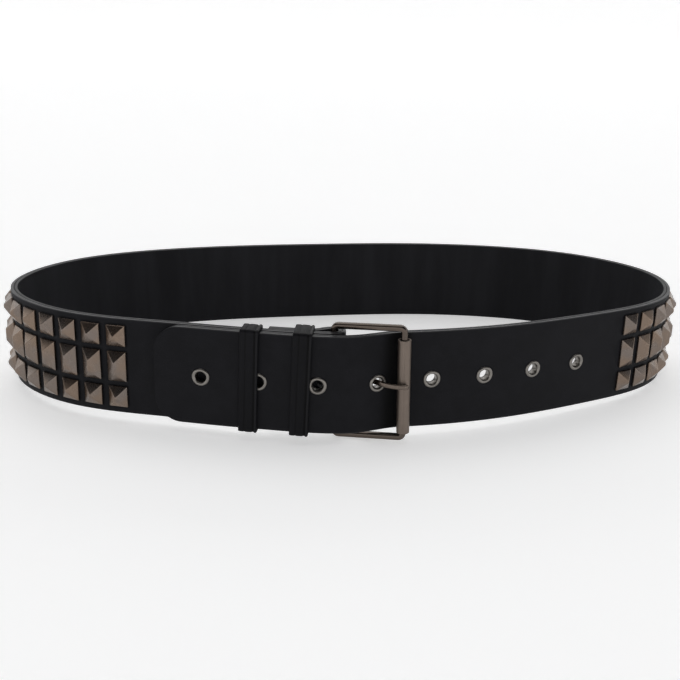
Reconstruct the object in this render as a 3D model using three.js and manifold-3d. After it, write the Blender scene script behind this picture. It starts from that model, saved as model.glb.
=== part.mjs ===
// A black leather belt with a field of pyramid studs, fastened in its roller buckle and
// standing on its lower edge. Millimetres, +Z up, the buckle at the front towards -Y.
//
// Lengths along the strap are counted clockwise, seen from above, from the eyelet in use:
// s = 0 there, the waist's whole round brings s back to it, and the tip end lies beyond.
import * as THREE from 'three';
import { mergeVertices } from 'three/addons/utils/BufferGeometryUtils.js';
import Module from 'manifold-3d';

const wasm = await Module();
wasm.setup();

// Driving dimensions
const GAP = 0.3;
const STRAP = { width: 50, ply: 1.6, tipCorner: 14, tipAt: 109, foldBack: 33 };
const THICK = 2 * STRAP.ply + GAP;
const HALF = THICK / 2;
const MIDDLE = STRAP.width / 2;
const EYELETS = { count: 8, inUse: 3, pitch: 28.3 };
const EYELET = { bore: 2.6, barrel: 3.0, rim: 4.5, back: 4.1, flange: 0.35, dome: 0.5, sides: 12 };
const SEAT = 0.15;
const STUDS = { firstAt: 129.6, columns: 48, pitch: 13.6, width: 10, height: 4.5, skirt: 0.9, sunk: 0.6 };
const STUD_ROWS = [
  { row: 'lower', centre: 8.8, tall: 11.0 },
  { row: 'middle', centre: 25.0, tall: 15.8 },
  { row: 'upper', centre: 41.2, tall: 11.0 },
];
const BUCKLE = { barAt: 20.1, rollerAt: -12.9, tall: 60, below: 5.4, corner: 2.3, leanDeg: 1.7 };
const WIRE = { inPlane: 1.6, offPlane: 1.9, sides: 10, squareness: 3 };
const ROLLER = { radius: 3.25, bore: 2.35, length: 48.5, out: 6.2, sides: 20 };
const PRONG = { wide: 3.0, bore: 2.3, ring: 1.4, tipShare: 0.12, tipWide: 0.55 };
const SLOT = { side: 1.5, from: -9, to: 11 };
const KEEPERS = [
  { name: 'keeper_by_tip', at: 61.1, layers: 2, leanDeg: 1 },
  { name: 'keeper_by_buckle', at: 36.0, layers: 3, leanDeg: 1.4 },
];
const KEEPER = {
  wide: 8.2, ply: 1.2, edgeRoom: 0.4, faceRoom: 0.9, backRoom: 0.7, corner: 1.2, innerCorner: 0.3,
};

// The standing loop in plan: the strap's middle line is the smooth closed curve that these
// posts pull, in order clockwise from the right end.
const POSTS = [
  { place: 'right end', x: 187, y: -16 },
  { place: 'right front', x: 134, y: -46 },
  { place: 'right of the buckle', x: 85, y: -72 },
  { place: 'roller', x: 28, y: -88 },
  { place: 'keepers', x: -29, y: -92 },
  { place: 'tip', x: -86, y: -81 },
  { place: 'left front', x: -142, y: -74 },
  { place: 'left end, front', x: -190, y: -29 },
  { place: 'left end, back', x: -171, y: 33 },
  { place: 'left back', x: -123, y: 65 },
  { place: 'back, left', x: -68, y: 84 },
  { place: 'back, middle', x: -12, y: 96 },
  { place: 'back, right', x: 44, y: 107 },
  { place: 'right back', x: 102, y: 107 },
  { place: 'right end, back', x: 158, y: 93 },
  { place: 'right end, side', x: 201, y: 46 },
];
const USED_EYELET_X = 18.3;

// How far the strap stands out from the middle line
const BULGE = { under: 1.3, tipEnd: 2.0, fadesOver: 40 };
const OVERLAP = { out: THICK + 0.9, from: -13, to: 16 };
const BEND = PRONG.bore + HALF;
const FOLD_TAPER = 12;
const FOLD_LEAN = { slope: Math.tan(THREE.MathUtils.degToRad(BUCKLE.leanDeg)), fadesOver: 25 };

// The middle line

class StandingLoop extends THREE.Curve {
  getPoint(t, target = new THREE.Vector3()) {
    const n = POSTS.length;
    const turns = (t % 1) * n;
    const i = Math.floor(turns);
    const u = turns - i;
    const weights = [
      (1 - u) ** 3,
      3 * u ** 3 - 6 * u ** 2 + 4,
      -3 * u ** 3 + 3 * u ** 2 + 3 * u + 1,
      u ** 3,
    ];
    target.set(0, 0, 0);
    weights.forEach((weight, k) => {
      const post = POSTS[(i + k) % n];
      target.x += (weight * post.x) / 6;
      target.y += (weight * post.y) / 6;
    });
    return target;
  }
}

const loop = new StandingLoop();
loop.arcLengthDivisions = 1600;
const WAIST = loop.getLength();

// The share of the loop's length at which the front passes x, walking clockwise from the right.
function frontShareAt(x) {
  let low = 0;
  let high = 0.4;
  for (let k = 0; k < 40; k += 1) {
    const mid = (low + high) / 2;
    if (loop.getPointAt(mid).x > x) low = mid;
    else high = mid;
  }
  return low;
}

const USED_EYELET_SHARE = frontShareAt(USED_EYELET_X);

// A point `out` millimetres outside the middle line at length s.
function offLine(s, out) {
  const share = (((s / WAIST + USED_EYELET_SHARE) % 1) + 1) % 1;
  const point = loop.getPointAt(share);
  const along = loop.getTangentAt(share);
  return new THREE.Vector2(point.x - along.y * out, point.y + along.x * out);
}

function ease(t) {
  const u = Math.min(Math.max(t, 0), 1);
  return u * u * (3 - 2 * u);
}

// How much is left, at length s, of what starts whole at the buckle's bar
function leftOf(fadesOver, s) {
  return 1 - ease((s - BUCKLE.barAt) / fadesOver);
}

// Where the strap runs: outside the middle line by the fold's bulge, and outside itself by a
// strap's thickness where the tip end overlaps.
function runOut(s) {
  if (s < WAIST / 2) return BULGE.under * leftOf(BULGE.fadesOver, s);
  const past = s - WAIST;
  const lifted = ease((past - OVERLAP.from) / (OVERLAP.to - OVERLAP.from));
  return lifted * (OVERLAP.out + BULGE.tipEnd * leftOf(BULGE.fadesOver, past));
}

// The turned-back end lies inside the strap and opens to go round the bar.
function foldOut(s) {
  return runOut(s) - (THICK + GAP) - leftOf(FOLD_TAPER, s) * (2 * BEND - THICK - GAP);
}

const bar = offLine(BUCKLE.barAt, runOut(BUCKLE.barAt) - BEND);
const rollerCentre = offLine(BUCKLE.rollerAt, ROLLER.out);

function onRun(s) {
  const here = offLine(s, runOut(s));
  const ahead = offLine(s + 0.5, runOut(s + 0.5));
  const along = ahead.sub(offLine(s - 0.5, runOut(s - 0.5))).normalize();
  return { here, along, out: new THREE.Vector2(-along.y, along.x) };
}

// Stations along the strap's own middle: the turned-back end, the bend round the bar, then the
// long run. Each has its half height, less at the rounded tip, and how much it leans with the bar.
function strapStations() {
  const stations = [];
  const add = (point, lean, half = MIDDLE) => stations.push({ point, lean, half });
  const { barAt } = BUCKLE;
  const foldSteps = 9;
  for (let k = 0; k < foldSteps; k += 1) {
    const s = barAt + STRAP.foldBack * (1 - k / foldSteps);
    add(offLine(s, foldOut(s)), leftOf(FOLD_LEAN.fadesOver, s));
  }
  const arm = offLine(barAt, runOut(barAt)).sub(bar);
  const bendSteps = 8;
  for (let k = 0; k < bendSteps; k += 1) {
    const turn = Math.PI * (1 - k / bendSteps);
    add(arm.clone().rotateAround(new THREE.Vector2(), turn).add(bar), 1);
  }
  const runAt = (s, half) => {
    const lean = s < WAIST / 2 ? leftOf(FOLD_LEAN.fadesOver, s) : 0;
    add(offLine(s, runOut(s)), lean, half);
  };
  const studStep = STUDS.pitch / 2;
  const steps = Math.ceil((STUDS.firstAt - barAt) / studStep);
  for (let k = 0; k < steps; k += 1) {
    runAt(THREE.MathUtils.lerp(barAt, STUDS.firstAt - studStep, k / steps));
  }
  for (let k = -1; k < 2 * STUDS.columns; k += 1) {
    runAt(STUDS.firstAt + k * studStep);
  }
  const studsEnd = STUDS.firstAt + 2 * STUDS.columns * studStep;
  const rollerFrom = WAIST + OVERLAP.from - 6;
  const rollerTo = WAIST + OVERLAP.to + 4;
  const tipFrom = WAIST + STRAP.tipAt - STRAP.tipCorner;
  const stretches = [
    { from: studsEnd, to: rollerFrom, step: 8 },
    { from: rollerFrom, to: rollerTo, step: 2.6 },
    { from: rollerTo, to: tipFrom, step: 6.5 },
  ];
  stretches.forEach(({ from, to, step }) => {
    const count = Math.round((to - from) / step);
    for (let k = 0; k < count; k += 1) runAt(THREE.MathUtils.lerp(from, to, k / count));
  });
  const tipSteps = 7;
  for (let k = 0; k <= tipSteps; k += 1) {
    const turn = (Math.PI / 2) * (k / tipSteps);
    const half = MIDDLE - STRAP.tipCorner * (1 - Math.cos(turn));
    runAt(tipFrom + STRAP.tipCorner * Math.sin(turn), half);
  }
  return stations;
}

// Solids

function toManifold(geometry) {
  const bare = geometry.clone();
  bare.deleteAttribute('normal');
  bare.deleteAttribute('uv');
  const merged = mergeVertices(bare, 1e-4);
  return new wasm.Manifold(new wasm.Mesh({
    numProp: 3,
    vertProperties: new Float32Array(merged.attributes.position.array),
    triVerts: new Uint32Array(merged.index.array),
  }));
}

function toGeometry(manifold) {
  const { vertProperties, triVerts } = manifold.getMesh();
  const geometry = new THREE.BufferGeometry();
  geometry.setAttribute('position', new THREE.BufferAttribute(vertProperties, 3));
  geometry.setIndex(new THREE.BufferAttribute(triVerts, 1));
  return geometry;
}

// A closed body through rings of equally many points: open at neither end, or round and round.
function skin(rings, closed = false) {
  const size = rings[0].length;
  const positions = rings.flat().flatMap((point) => point.toArray());
  const index = [];
  const spans = closed ? rings.length : rings.length - 1;
  for (let r = 0; r < spans; r += 1) {
    const next = (r + 1) % rings.length;
    for (let k = 0; k < size; k += 1) {
      const a = r * size + k;
      const b = r * size + ((k + 1) % size);
      const c = next * size + ((k + 1) % size);
      const d = next * size + k;
      index.push(a, b, c, a, c, d);
    }
  }
  if (!closed) {
    const last = (rings.length - 1) * size;
    for (let k = 1; k < size - 1; k += 1) {
      index.push(0, k + 1, k);
      index.push(last, last + k, last + k + 1);
    }
  }
  const geometry = new THREE.BufferGeometry();
  geometry.setAttribute('position', new THREE.Float32BufferAttribute(positions, 3));
  geometry.setIndex(index);
  return geometry;
}

// Turns a shape drawn at the origin so that its X, Y and Z lie along the strap, up, and out.
function onStrap(geometry, station, z = 0) {
  const { here, along, out } = station;
  return geometry.applyMatrix4(new THREE.Matrix4().set(
    -along.x, 0, out.x, here.x,
    -along.y, 0, out.y, here.y,
    0, 1, 0, z,
    0, 0, 0, 1,
  ));
}

function block(width, tall, low, high) {
  const box = new THREE.BoxGeometry(width, tall, high - low);
  return box.translate(0, 0, (low + high) / 2);
}

// The leather

// One ply, between two offsets from the strap's middle
function plyGeometry(inner, outer) {
  const stations = strapStations();
  const leanWay = onRun(BUCKLE.barAt).along.multiplyScalar(FOLD_LEAN.slope);
  const rings = stations.map(({ point, lean, half }, k) => {
    const before = stations[Math.max(k - 1, 0)].point;
    const after = stations[Math.min(k + 1, stations.length - 1)].point;
    const along = after.clone().sub(before).normalize();
    return [[outer, -half], [outer, half], [inner, half], [inner, -half]].map(([offset, rise]) => (
      new THREE.Vector3(
        point.x - along.y * offset + leanWay.x * lean * rise,
        point.y + along.x * offset + leanWay.y * lean * rise,
        MIDDLE + rise,
      )
    ));
  });
  return skin(rings);
}

function eyeletAt(k) {
  return WAIST + EYELETS.pitch * (EYELETS.inUse - k);
}

function eyeletHole(k) {
  const reach = HALF + 0.4;
  const radius = EYELET.barrel + GAP;
  const hole = new THREE.CylinderGeometry(radius, radius, 2 * reach, EYELET.sides);
  return onStrap(hole.rotateX(Math.PI / 2), onRun(eyeletAt(k)), MIDDLE);
}

// The slot in the folded end that lets the prong's ring round the bar
function prongSlot() {
  const behind = -2 * (BEND + HALF);
  const slot = block(SLOT.to - SLOT.from, PRONG.wide + 2 * SLOT.side, behind, HALF + GAP);
  slot.translate((SLOT.from + SLOT.to) / 2, 0, 0);
  return onStrap(slot, onRun(BUCKLE.barAt), MIDDLE);
}

function cutLeather(geometry) {
  let leather = toManifold(geometry);
  for (let k = 0; k < EYELETS.count; k += 1) {
    leather = leather.subtract(toManifold(eyeletHole(k)));
  }
  return leather.subtract(toManifold(prongSlot()));
}

// One stud: a short skirt under a pyramid, or under a hipped ridge where the stud is tall.
function studGeometry(tall) {
  const half = STUDS.width / 2;
  const ridge = (tall - STUDS.width) / 2;
  const tip = 0.3;
  const ring = (x, y, z) => [
    new THREE.Vector3(x, y, z), new THREE.Vector3(-x, y, z),
    new THREE.Vector3(-x, -y, z), new THREE.Vector3(x, -y, z),
  ];
  return skin([
    ring(half, tall / 2, -STUDS.sunk),
    ring(half, tall / 2, STUDS.skirt),
    ring(tip, tip + Math.max(ridge, 0), STUDS.height),
  ]);
}

function strapOuter() {
  let leather = cutLeather(plyGeometry(HALF - STRAP.ply, HALF));
  for (let column = 0; column < STUDS.columns; column += 1) {
    const station = onRun(STUDS.firstAt + column * STUDS.pitch);
    station.here.addScaledVector(station.out, HALF);
    STUD_ROWS.forEach((row) => {
      const stud = onStrap(studGeometry(row.tall), station, row.centre);
      leather = leather.add(toManifold(stud));
    });
  }
  return toGeometry(leather);
}

function strapLining() {
  return toGeometry(cutLeather(plyGeometry(-HALF, -HALF + STRAP.ply)));
}

// The buckle, drawn in its own plane: X from the bar to the roller, Y up, Z to the wearer's front

const across = rollerCentre.clone().sub(bar);
const FRAME_WIDE = across.length();
const WIRE_TALL = BUCKLE.tall / 2 - WIRE.inPlane;

function power(value) {
  return Math.sign(value) * Math.abs(value) ** (2 / WIRE.squareness);
}

function buckleFrame() {
  const r = BUCKLE.corner;
  const cornerX = FRAME_WIDE / 2 - r;
  const cornerY = WIRE_TALL - r;
  const corners = [
    { x: cornerX, y: -cornerY, from: -90 },
    { x: cornerX, y: cornerY, from: 0 },
    { x: -cornerX, y: cornerY, from: 90 },
    { x: -cornerX, y: -cornerY, from: 180 },
  ];
  const cornerSteps = 5;
  const rings = corners.flatMap(({ x, y, from }) => (
    Array.from({ length: cornerSteps + 1 }, (_, k) => {
      const angle = THREE.MathUtils.degToRad(from + (90 * k) / cornerSteps);
      return Array.from({ length: WIRE.sides }, (__, side) => {
        const turn = (2 * Math.PI * (side + 0.5)) / WIRE.sides;
        const reach = r + WIRE.inPlane * power(Math.cos(turn));
        return new THREE.Vector3(
          x + reach * Math.cos(angle),
          y + reach * Math.sin(angle),
          -WIRE.offPlane * power(Math.sin(turn)),
        );
      });
    })
  ));
  return skin(rings, true);
}

function buckleRoller() {
  const { bore, radius, length, sides } = ROLLER;
  const chamfer = 0.3;
  const profile = [
    [bore, 0], [radius - chamfer, 0], [radius, chamfer],
    [radius, length - chamfer], [radius - chamfer, length], [bore, length], [bore, 0],
  ].map(([r, y]) => new THREE.Vector2(r, y));
  return new THREE.LatheGeometry(profile, sides);
}

// The prong's bends: how far right of the bar, and how far outside the middle line
const PRONG_BENDS = [
  { at: 2.9, out: -1.7, thick: 1.8 },
  { at: 11.5, out: -1.7, thick: 1.8 },
  { at: 16.5, out: -1.0, thick: 1.8 },
  { at: 20.1, out: 2.7, thick: 1.8 },
  { at: 23.2, out: 6.4, thick: 1.9 },
  { at: 27.5, out: 9.3, thick: 2.0 },
  { at: 32.5, out: 10.9, thick: 1.8 },
  { at: 35.4, out: 10.6, thick: 1.2 },
];

function buckleProng() {
  const centres = PRONG_BENDS.map(({ at, out }) => {
    const point = offLine(BUCKLE.barAt - at, out);
    return new THREE.Vector3(point.x, point.y, MIDDLE);
  });
  const path = new THREE.CatmullRomCurve3(centres);
  const steps = 22;
  const chamferedSquare = [
    [1, 0.6], [0.6, 1], [-0.6, 1], [-1, 0.6], [-1, -0.6], [-0.6, -1], [0.6, -1], [1, -0.6],
  ];
  const rings = Array.from({ length: steps + 1 }, (_, k) => {
    const t = k / steps;
    const centre = path.getPoint(t);
    const along = path.getTangent(t);
    const spot = t * (PRONG_BENDS.length - 1);
    const i = Math.min(Math.floor(spot), PRONG_BENDS.length - 2);
    const thick = THREE.MathUtils.lerp(PRONG_BENDS[i].thick, PRONG_BENDS[i + 1].thick, spot - i);
    const wide = PRONG.wide * THREE.MathUtils.lerp(
      PRONG.tipWide, 1, Math.min(1, (1 - t) / PRONG.tipShare),
    );
    const side = new THREE.Vector3(-along.y, along.x, 0).multiplyScalar(thick / 2);
    return chamferedSquare.map(([a, b]) => (
      centre.clone().addScaledVector(side, a).add(new THREE.Vector3(0, 0, (b * wide) / 2))
    ));
  });
  const ring = new THREE.Shape().absarc(0, 0, PRONG.bore + PRONG.ring, 0, 2 * Math.PI);
  ring.holes.push(new THREE.Path().absarc(0, 0, PRONG.bore, 0, 2 * Math.PI, true));
  const loopRound = new THREE.ExtrudeGeometry(ring, {
    depth: PRONG.wide, bevelEnabled: false, curveSegments: 10,
  });
  loopRound.translate(bar.x, bar.y, MIDDLE - PRONG.wide / 2);
  return toGeometry(toManifold(loopRound).add(toManifold(skin(rings))));
}

// Keepers and eyelets

function roundedBox(left, right, bottom, top, r) {
  const box = new THREE.Shape();
  box.moveTo(left + r, bottom);
  box.lineTo(right - r, bottom);
  box.absarc(right - r, bottom + r, r, -Math.PI / 2, 0);
  box.lineTo(right, top - r);
  box.absarc(right - r, top - r, r, 0, Math.PI / 2);
  box.lineTo(left + r, top);
  box.absarc(left + r, top - r, r, Math.PI / 2, Math.PI);
  box.lineTo(left, bottom + r);
  box.absarc(left + r, bottom + r, r, Math.PI, 1.5 * Math.PI);
  return box;
}

// A keeper is a band round the layers: the under strap, the turned-back end where it reaches,
// and the tip end on top.
function keeperGeometry({ at, layers, leanDeg }) {
  const lift = runOut(WAIST + at) - runOut(at);
  const innermost = layers === 3 ? foldOut(at) - runOut(at) - HALF : -HALF;
  const left = innermost - KEEPER.backRoom;
  const right = lift + HALF + KEEPER.faceRoom;
  const tall = MIDDLE + KEEPER.edgeRoom;
  const band = roundedBox(
    left - KEEPER.ply, right + KEEPER.ply, -tall - KEEPER.ply, tall + KEEPER.ply, KEEPER.corner,
  );
  band.holes.push(roundedBox(left, right, -tall, tall, KEEPER.innerCorner));
  const geometry = new THREE.ExtrudeGeometry(band, {
    depth: KEEPER.wide, bevelEnabled: false, curveSegments: 3,
  });
  geometry.translate(0, 0, -KEEPER.wide / 2);
  geometry.rotateY(-Math.PI / 2);
  geometry.rotateZ(THREE.MathUtils.degToRad(-leanDeg));
  return onStrap(geometry, onRun(at), MIDDLE);
}

function eyeletGeometry(k) {
  const { bore, barrel, rim, back, flange, dome, sides } = EYELET;
  const face = HALF + SEAT;
  const profile = [
    [bore, -face - flange], [back, -face - flange], [back, -face], [barrel, -face],
    [barrel, face], [rim, face], [rim - 0.25, face + 0.7 * dome], [rim - 0.8, face + dome],
    [barrel, face + 0.75 * dome], [bore, face + 0.2 * dome], [bore, -face - flange],
  ].map(([r, z]) => new THREE.Vector2(r, z));
  const lathe = new THREE.LatheGeometry(profile, sides).rotateX(Math.PI / 2);
  return onStrap(lathe, onRun(eyeletAt(k)), MIDDLE);
}

// Finishes

const blackLeather = new THREE.MeshStandardMaterial({ color: 0x1b1b1d, roughness: 0.55, metalness: 0 });
const liningLeather = new THREE.MeshStandardMaterial({ color: 0x17171a, roughness: 0.65, metalness: 0 });
const gunmetal = new THREE.MeshStandardMaterial({ color: 0x6a6058, roughness: 0.3, metalness: 1 });
const eyeletMetal = new THREE.MeshStandardMaterial({ color: 0x8b8782, roughness: 0.3, metalness: 1 });

// The belt

function piece(name, geometry, material) {
  const bare = geometry.clone();
  bare.deleteAttribute('uv');
  bare.deleteAttribute('normal');
  const merged = mergeVertices(bare, 1e-4);
  merged.computeVertexNormals();
  const mesh = new THREE.Mesh(merged, material);
  mesh.name = name;
  return mesh;
}

const belt = new THREE.Group();
belt.add(piece('strap_outer', strapOuter(), blackLeather));
belt.add(piece('strap_lining', strapLining(), liningLeather));

// The buckle stands aslant in its fold; its roller has slid down to the frame's lower corner.
const aslant = new THREE.Group();
aslant.rotation.set(Math.PI / 2, 0, THREE.MathUtils.degToRad(BUCKLE.leanDeg));
aslant.add(piece('buckle_frame', buckleFrame(), gunmetal));
const roller = piece('buckle_roller', buckleRoller(), gunmetal);
roller.position.set(FRAME_WIDE / 2, BUCKLE.corner - WIRE_TALL + GAP, 0);
aslant.add(roller);
const buckle = new THREE.Group();
buckle.add(aslant);
const buckleMiddle = bar.clone().add(rollerCentre).multiplyScalar(0.5);
buckle.position.set(buckleMiddle.x, buckleMiddle.y, BUCKLE.tall / 2 - BUCKLE.below);
buckle.rotation.z = across.angle();
belt.add(buckle);

belt.add(piece('buckle_prong', buckleProng(), gunmetal));
KEEPERS.forEach((keeper) => belt.add(piece(keeper.name, keeperGeometry(keeper), blackLeather)));
for (let k = 0; k < EYELETS.count; k += 1) {
  belt.add(piece(`eyelet_${k + 1}`, eyeletGeometry(k), eyeletMetal));
}

// The buckle reaches below the strap's edge, so the belt leans back on it and on its rear edge.
function farthest(name, measure) {
  const mesh = belt.getObjectByName(name);
  mesh.updateWorldMatrix(true, false);
  const corners = mesh.geometry.attributes.position;
  let best = null;
  for (let i = 0; i < corners.count; i += 1) {
    const corner = new THREE.Vector3().fromBufferAttribute(corners, i).applyMatrix4(mesh.matrixWorld);
    if (!best || measure(corner) > measure(best)) best = corner;
  }
  return best;
}

const foot = farthest('buckle_frame', (corner) => -corner.z);
const rear = farthest('strap_outer', (corner) => (corner.z < GAP ? corner.y : 0));
belt.rotation.x = -Math.atan2(-foot.z, rear.y - foot.y);

// The origin is the middle of the belt's box, at the floor.
const standing = new THREE.Group();
standing.add(belt);
const extent = new THREE.Box3().setFromObject(standing, true);
const centre = extent.getCenter(new THREE.Vector3());
belt.position.set(-centre.x, -centre.y, -extent.min.z);

export default standing;
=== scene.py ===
"""A black leather belt with a field of pyramid studs, fastened in its roller buckle and standing
on its lower edge. Lengths in the code's own sizes are millimetres, and the meshes are in metres.

The strap is modelled flat and then laid along its standing line. Flat, it has X along it to the
right as its face is seen, Y up from the lower edge and Z out of the face.
"""

import math
import random

import bpy
import numpy as np
from mathutils import Euler, Matrix, Vector


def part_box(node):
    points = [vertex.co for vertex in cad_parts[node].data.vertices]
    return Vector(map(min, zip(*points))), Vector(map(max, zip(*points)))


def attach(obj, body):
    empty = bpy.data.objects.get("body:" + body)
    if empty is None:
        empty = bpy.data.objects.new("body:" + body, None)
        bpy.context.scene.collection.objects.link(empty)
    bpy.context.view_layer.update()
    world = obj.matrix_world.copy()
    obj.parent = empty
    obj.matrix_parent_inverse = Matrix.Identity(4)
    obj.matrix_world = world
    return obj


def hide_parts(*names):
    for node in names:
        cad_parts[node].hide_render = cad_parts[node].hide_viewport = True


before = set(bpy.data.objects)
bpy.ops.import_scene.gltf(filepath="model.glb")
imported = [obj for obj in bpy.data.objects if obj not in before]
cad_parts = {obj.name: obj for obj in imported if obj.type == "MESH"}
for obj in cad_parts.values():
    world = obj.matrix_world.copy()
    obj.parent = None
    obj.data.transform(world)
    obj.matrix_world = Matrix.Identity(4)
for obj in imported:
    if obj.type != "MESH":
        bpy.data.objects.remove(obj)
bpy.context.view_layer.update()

bl_info = {
    "name": "Studded belt",
    "version": (1, 0, 0),
    "blender": (4, 5, 0),
    "location": "3D View > Sidebar > Belt",
    "description": "Builds a studded leather belt with a roller buckle",
    "category": "Add Mesh",
}

MM = 0.001

# Sizes that the user can change


def length(name, description, default):
    return bpy.props.FloatProperty(
        name=name, description=description, default=default * MM, unit="LENGTH", precision=5
    )


def colour(name, description, default):
    return bpy.props.FloatVectorProperty(
        name=name, description=description, default=default, subtype="COLOR", min=0, max=1
    )


class StrapSizes(bpy.types.PropertyGroup):
    ply: length("Ply", "Thickness of each of the strap's two plies", 1.6)
    edge: length("Edge rounding", "How far the plies' edges are rounded", 0.45)
    pucker: length("Pucker", "How far the leather sinks round a stud", 0.12)
    black: colour("Leather", "Colour of the outer leather", (0.0080, 0.0081, 0.0100))
    inner: colour("Lining", "Colour of the lining leather", (0.0140, 0.0142, 0.0163))


class StudSizes(bpy.types.PropertyGroup):
    width: length("Width", "Width of a stud along the strap", 10.0)
    small: length("Small height", "Height of a stud in the outer rows", 11.0)
    tall: length("Tall height", "Height of a stud in the middle row", 15.8)
    rise: length("Rise", "How far a stud stands out of the leather", 4.5)
    skirt: length("Skirt", "Height of a stud's upright foot", 0.9)
    edge: length("Edge rounding", "Rounding of a stud's edges", 0.28)


class BuckleSizes(bpy.types.PropertyGroup):
    in_plane: length("Wire width", "Half the wire's width across the frame", 1.6)
    off_plane: length("Wire depth", "Half the wire's depth out of the frame", 1.9)
    corner: length("Corner", "Bend of the wire's middle line at a corner", 2.3)
    roller: length("Roller", "Outer radius of the roller", 3.25)
    prong: length("Prong", "Width of the prong", 3.0)
    metal: colour("Gunmetal", "Colour of the dark plated metal", (0.200, 0.163, 0.138))


class TrimSizes(bpy.types.PropertyGroup):
    keeper: length("Keeper width", "Width of a keeper along the strap", 8.2)
    keeper_ply: length("Keeper ply", "Thickness of a keeper's leather", 1.2)
    rim: length("Eyelet rim", "Outer radius of an eyelet's rim", 4.5)
    bore: length("Eyelet bore", "Radius of an eyelet's hole", 2.6)
    thread: length("Thread", "Thickness of the sewing thread", 0.55)
    nickel: colour("Nickel", "Colour of the eyelets", (0.258, 0.242, 0.223))


class StageSizes(bpy.types.PropertyGroup):
    floor: colour("Floor", "Colour of the floor and backdrop", (0.88, 0.88, 0.88))
    focal: bpy.props.FloatProperty(name="Lens", description="Focal length", default=48.65)
    far: length("Camera distance", "Distance from the camera to the belt's middle", 535.8)


# Fixed places, in millimetres, shared with the solids

GAP = 0.3
HALF = 1.75
PLY_MIDDLE = 0.95
LINING_FACE = -0.15
MIDDLE = 25.0
BAR_AT = 20.1
ROLLER_AT = -12.9
ROLLER_OUT = 6.2
FOLD_BACK = 33.0
TIP_AT = 109.0
TIP_CORNER = 14.0
BEND = 4.05
BULGE_UNDER = 1.3
BULGE_TIP_END = 2.0
BULGE_FADES_OVER = 40
OVERLAP_FROM = -13
OVERLAP_OVER = 29
OVERLAP_OUT = 4.4
FOLD_TAPER = 12
LEAN_FADES_OVER = 25
BUCKLE_TALL = 60.0
BUCKLE_BELOW = 5.4
BUCKLE_LEAN = math.radians(1.7)
ROLLER_LONG = 48.5
ROLLER_BORE = 2.35
SEAM_DEEP = 0.22
EYELETS = 8
EYELET_IN_USE = 3
EYELET_PITCH = 28.3
EYELET_BARREL = 3.0
SLOT_TALL = 6.0
SLOT_PAST_BEND = 9
STUD_PITCH = 13.6
STUD_FIRST = 129.6
STUD_COLUMNS = 48
STUD_ROWS = {"lower": 8.8, "middle": 25.0, "upper": 41.2}
LEAN_BACK = math.radians(-1.7)

POSTS = {
    "right end": (187, -16),
    "right front": (134, -46),
    "right of the buckle": (85, -72),
    "roller": (28, -88),
    "keepers": (-29, -92),
    "tip": (-86, -81),
    "left front": (-142, -74),
    "left end, front": (-190, -29),
    "left end, back": (-171, 33),
    "left back": (-123, 65),
    "back, left": (-68, 84),
    "back, middle": (-12, 96),
    "back, right": (44, 107),
    "right back": (102, 107),
    "right end, back": (158, 93),
    "right end, side": (201, 46),
}

# The standing line


def spline(turns):
    """Points of the smooth closed curve that the posts pull."""
    posts = np.array(list(POSTS.values()), float)
    place = (np.atleast_1d(turns) % 1) * len(posts)
    first = np.floor(place).astype(int)
    u = place - first
    weights = ((1 - u) ** 3, 3 * u**3 - 6 * u**2 + 4, -3 * u**3 + 3 * u**2 + 3 * u + 1, u**3)
    parts = (w[:, None] * posts[(first + k) % len(posts)] for k, w in enumerate(weights))
    return sum(parts) / 6


TURNS = np.linspace(0, 1, 4001)
LOOP = spline(TURNS)
LOOP_LENGTHS = np.concatenate([[0], np.cumsum(np.linalg.norm(np.diff(LOOP, axis=0), axis=1))])
WAIST = LOOP_LENGTHS[-1]
USED_EYELET_X = 18.3
FRONT = TURNS < 0.4
USED_EYELET = np.interp(-USED_EYELET_X, -LOOP[FRONT, 0], LOOP_LENGTHS[FRONT])


def off_line(s, out):
    """Points `out` outside the middle line at lengths s from the used eyelet."""
    turns = np.interp((np.atleast_1d(s) + USED_EYELET) % WAIST, LOOP_LENGTHS, TURNS)
    along = spline(turns + 1e-4) - spline(turns - 1e-4)
    along /= np.linalg.norm(along, axis=1)[:, None]
    return spline(turns) + np.stack([-along[:, 1], along[:, 0]], 1) * np.atleast_1d(out)[:, None]


def ease(t):
    u = np.clip(t, 0, 1)
    return u * u * (3 - 2 * u)


def left_of(fades_over, s):
    """How much is left, at length s, of what starts whole at the buckle's bar."""
    return 1 - ease((s - BAR_AT) / fades_over)


def run_out(s):
    """How far the strap stands outside the middle line."""
    s = np.asarray(s, float)
    past = s - WAIST
    out = OVERLAP_OUT + BULGE_TIP_END * left_of(BULGE_FADES_OVER, past)
    lifted = ease((past - OVERLAP_FROM) / OVERLAP_OVER) * out
    return np.where(s < WAIST / 2, BULGE_UNDER * left_of(BULGE_FADES_OVER, s), lifted)


def fold_out(s):
    """How far outside the middle line the turned-back end lies, open at the bar."""
    inside = 2 * HALF + GAP
    return run_out(s) - inside - left_of(FOLD_TAPER, s) * (2 * BEND - inside)


BAR = off_line(BAR_AT, run_out(BAR_AT) - BEND)[0]
ROLLER = off_line(ROLLER_AT, ROLLER_OUT)[0]


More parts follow.
